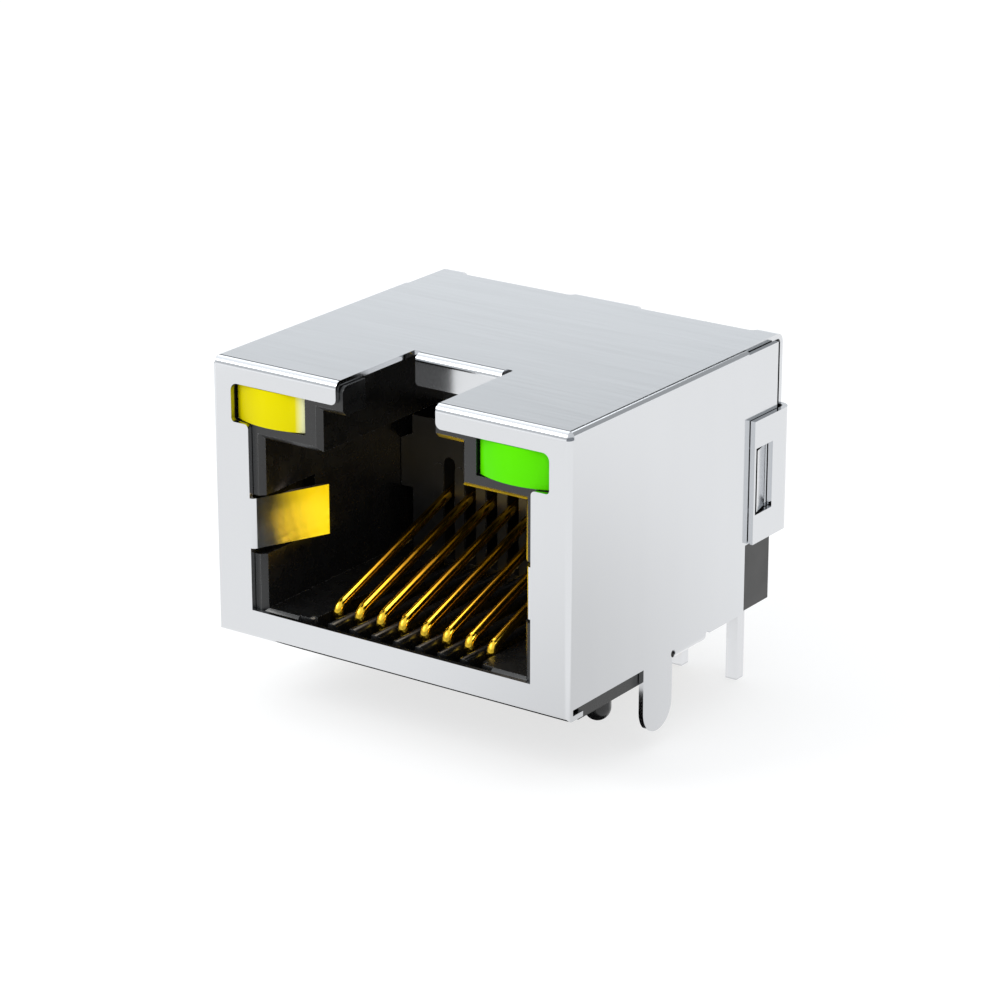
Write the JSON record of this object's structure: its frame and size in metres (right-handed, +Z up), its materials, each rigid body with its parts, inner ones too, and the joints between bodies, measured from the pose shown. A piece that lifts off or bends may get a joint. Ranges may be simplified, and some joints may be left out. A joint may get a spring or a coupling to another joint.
{
  "type": "shielded modular board jack",
  "caption": "Side-entry modular jack for a circuit board, in a folded metal shell with spring-wire contacts and an indicator lamp in each upper corner of its face.",
  "frame": {"origin": "midway between the two locating pegs, on the underside of the housing's foot, which rests on the top face of the board", "axes": "+X along the front face, to the right as seen from the mouth; +Y from the mouth towards the rear, the way a plug goes in; +Z up, away from the board"},
  "size_m": [0.0166, 0.0149, 0.014],
  "materials": {
    "shell_sheet": "bright plated sheet metal with a faint rolled grain and sheared edges",
    "housing_resin": "black moulded glass-filled resin, satin",
    "carrier_resin": "black moulded resin, slightly greyer and matt",
    "contact_gold": "bright gold-plated spring wire",
    "yellow_lens": "glossy tinted lens, yellow",
    "green_lens": "glossy tinted lens, green",
    "lead_tin": "bright tinned wire"
  },
  "bodies": {
    "root": {"shield": "shell_sheet", "housing": "housing_resin", "contact_carrier": "carrier_resin", "contact_1": "contact_gold", "contact_2": "contact_gold", "contact_3": "contact_gold", "contact_4": "contact_gold", "contact_5": "contact_gold", "contact_6": "contact_gold", "contact_7": "contact_gold", "contact_8": "contact_gold", "lamp_yellow": "yellow_lens", "lamp_green": "green_lens", "lamp_yellow_lead_outer": "lead_tin", "lamp_yellow_lead_inner": "lead_tin", "lamp_green_lead_inner": "lead_tin", "lamp_green_lead_outer": "lead_tin"}
  },
  "joints": []
}
